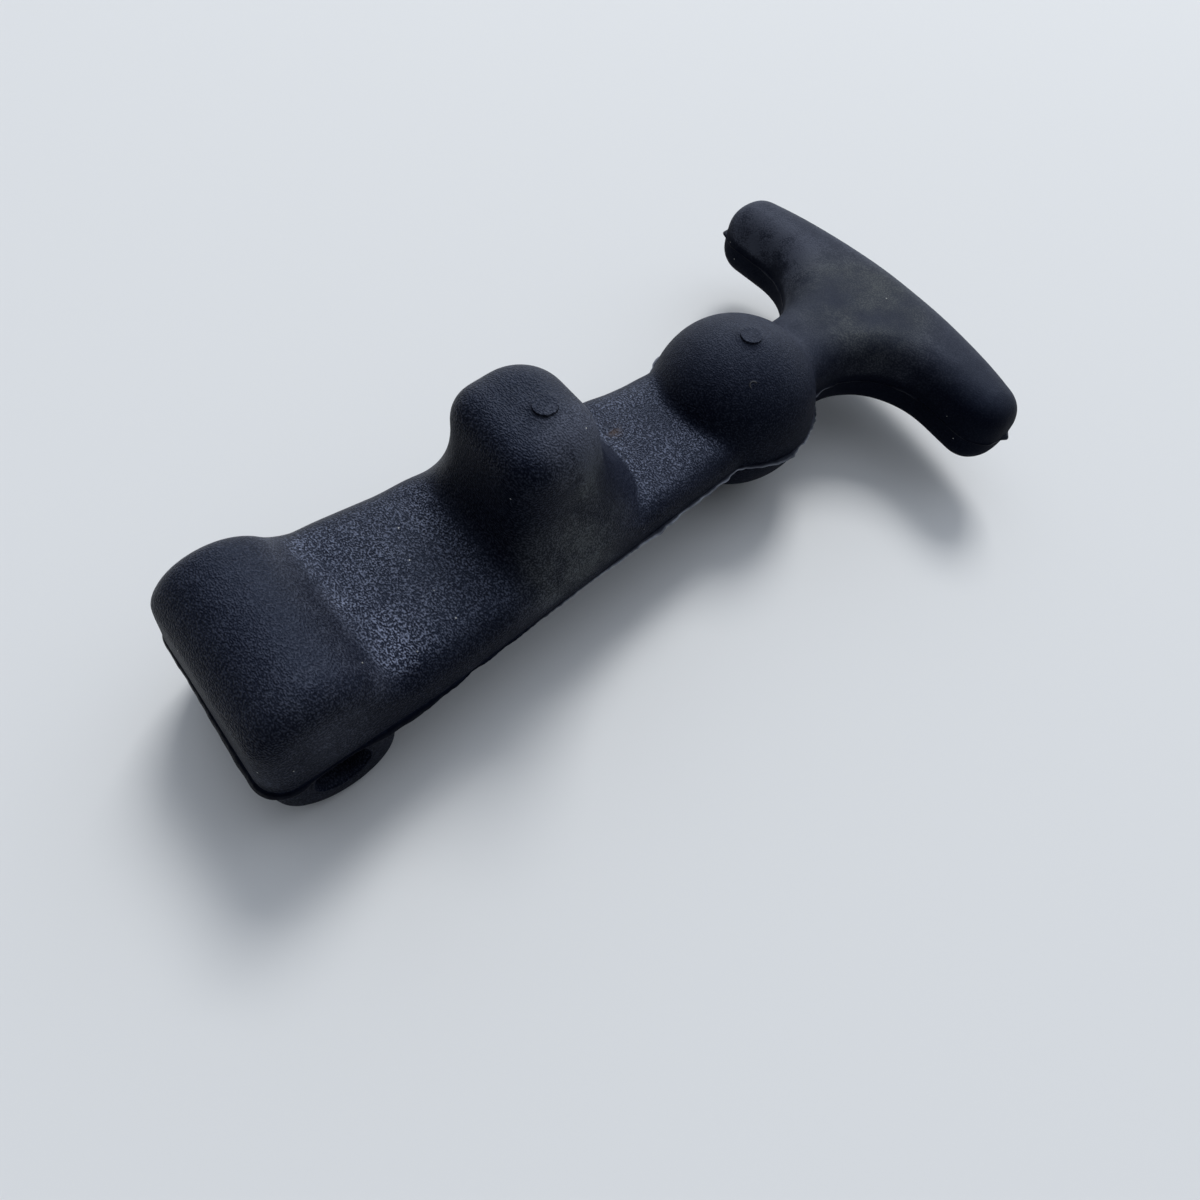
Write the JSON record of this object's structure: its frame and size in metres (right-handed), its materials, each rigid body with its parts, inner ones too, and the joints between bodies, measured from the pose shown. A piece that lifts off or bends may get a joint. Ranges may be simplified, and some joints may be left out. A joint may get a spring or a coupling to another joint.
{
  "type": "rubber t draw latch",
  "caption": "One-piece black rubber draw latch: hinge foot with a pin bore, waisted strap, thumb knob, ball that holds behind a forked keeper, and a T grip.",
  "frame": {"origin": "middle of the hinge-pin bore", "axes": "+X along the strap from the pin to the T grip, +Y along the pin bore, +Z out of the face with the knob"},
  "size_m": [0.1397, 0.0676, 0.0411],
  "materials": {
    "rubber": "moulded EPDM, fine leather grain on the strap, matte elsewhere, dusty bloom"
  },
  "bodies": {
    "root": {"latch_strap": "rubber"}
  },
  "joints": []
}
